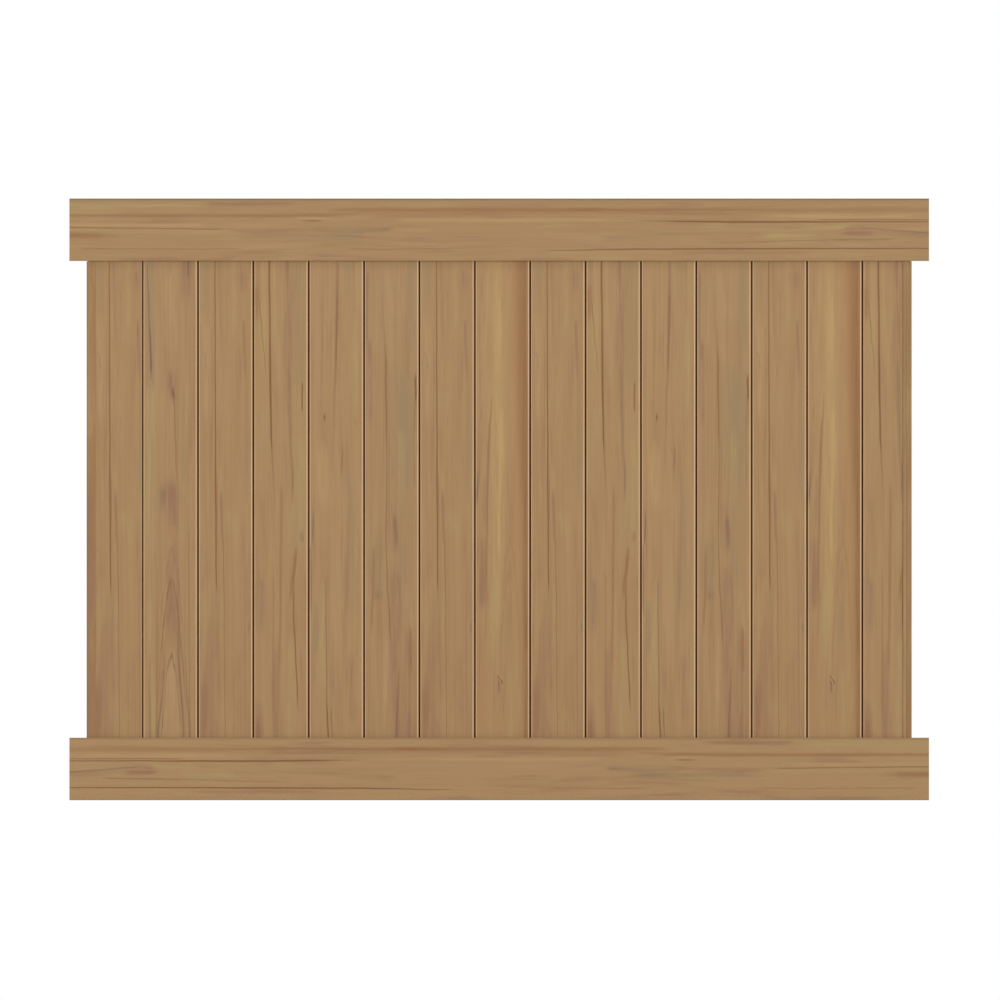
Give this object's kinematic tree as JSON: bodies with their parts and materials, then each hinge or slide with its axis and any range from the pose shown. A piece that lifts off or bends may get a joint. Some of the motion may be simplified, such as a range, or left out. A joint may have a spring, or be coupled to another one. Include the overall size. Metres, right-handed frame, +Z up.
{
  "type": "vinyl privacy fence panel",
  "caption": "Wood-grain vinyl privacy fence panel: hollow tongue-and-groove boards upright between two rails, U channels at the ends, and bare rail ends that go into the posts",
  "frame": {"origin": "bottom centre of the panel: under its middle, on the underside of the bottom rail", "axes": "+X along the rails, to the right when seen from the front; +Y through the panel, away from the front; +Z up"},
  "size_m": [2.366, 0.0446, 1.656],
  "materials": {
    "rail_vinyl": "satin",
    "board_vinyl": "satin",
    "channel_vinyl": "satin",
    "galvanised_steel": "satin"
  },
  "bodies": {
    "root": {"top_rail": "rail_vinyl", "bottom_rail": "rail_vinyl", "rail_stiffener": "galvanised_steel", "left_end_channel": "channel_vinyl", "right_end_channel": "channel_vinyl", "board_01": "board_vinyl", "board_02": "board_vinyl", "board_03": "board_vinyl", "board_04": "board_vinyl", "board_05": "board_vinyl", "board_06": "board_vinyl", "board_07": "board_vinyl", "board_08": "board_vinyl", "board_09": "board_vinyl", "board_10": "board_vinyl", "board_11": "board_vinyl", "board_12": "board_vinyl", "board_13": "board_vinyl", "board_14": "board_vinyl", "board_15": "board_vinyl"}
  },
  "joints": []
}
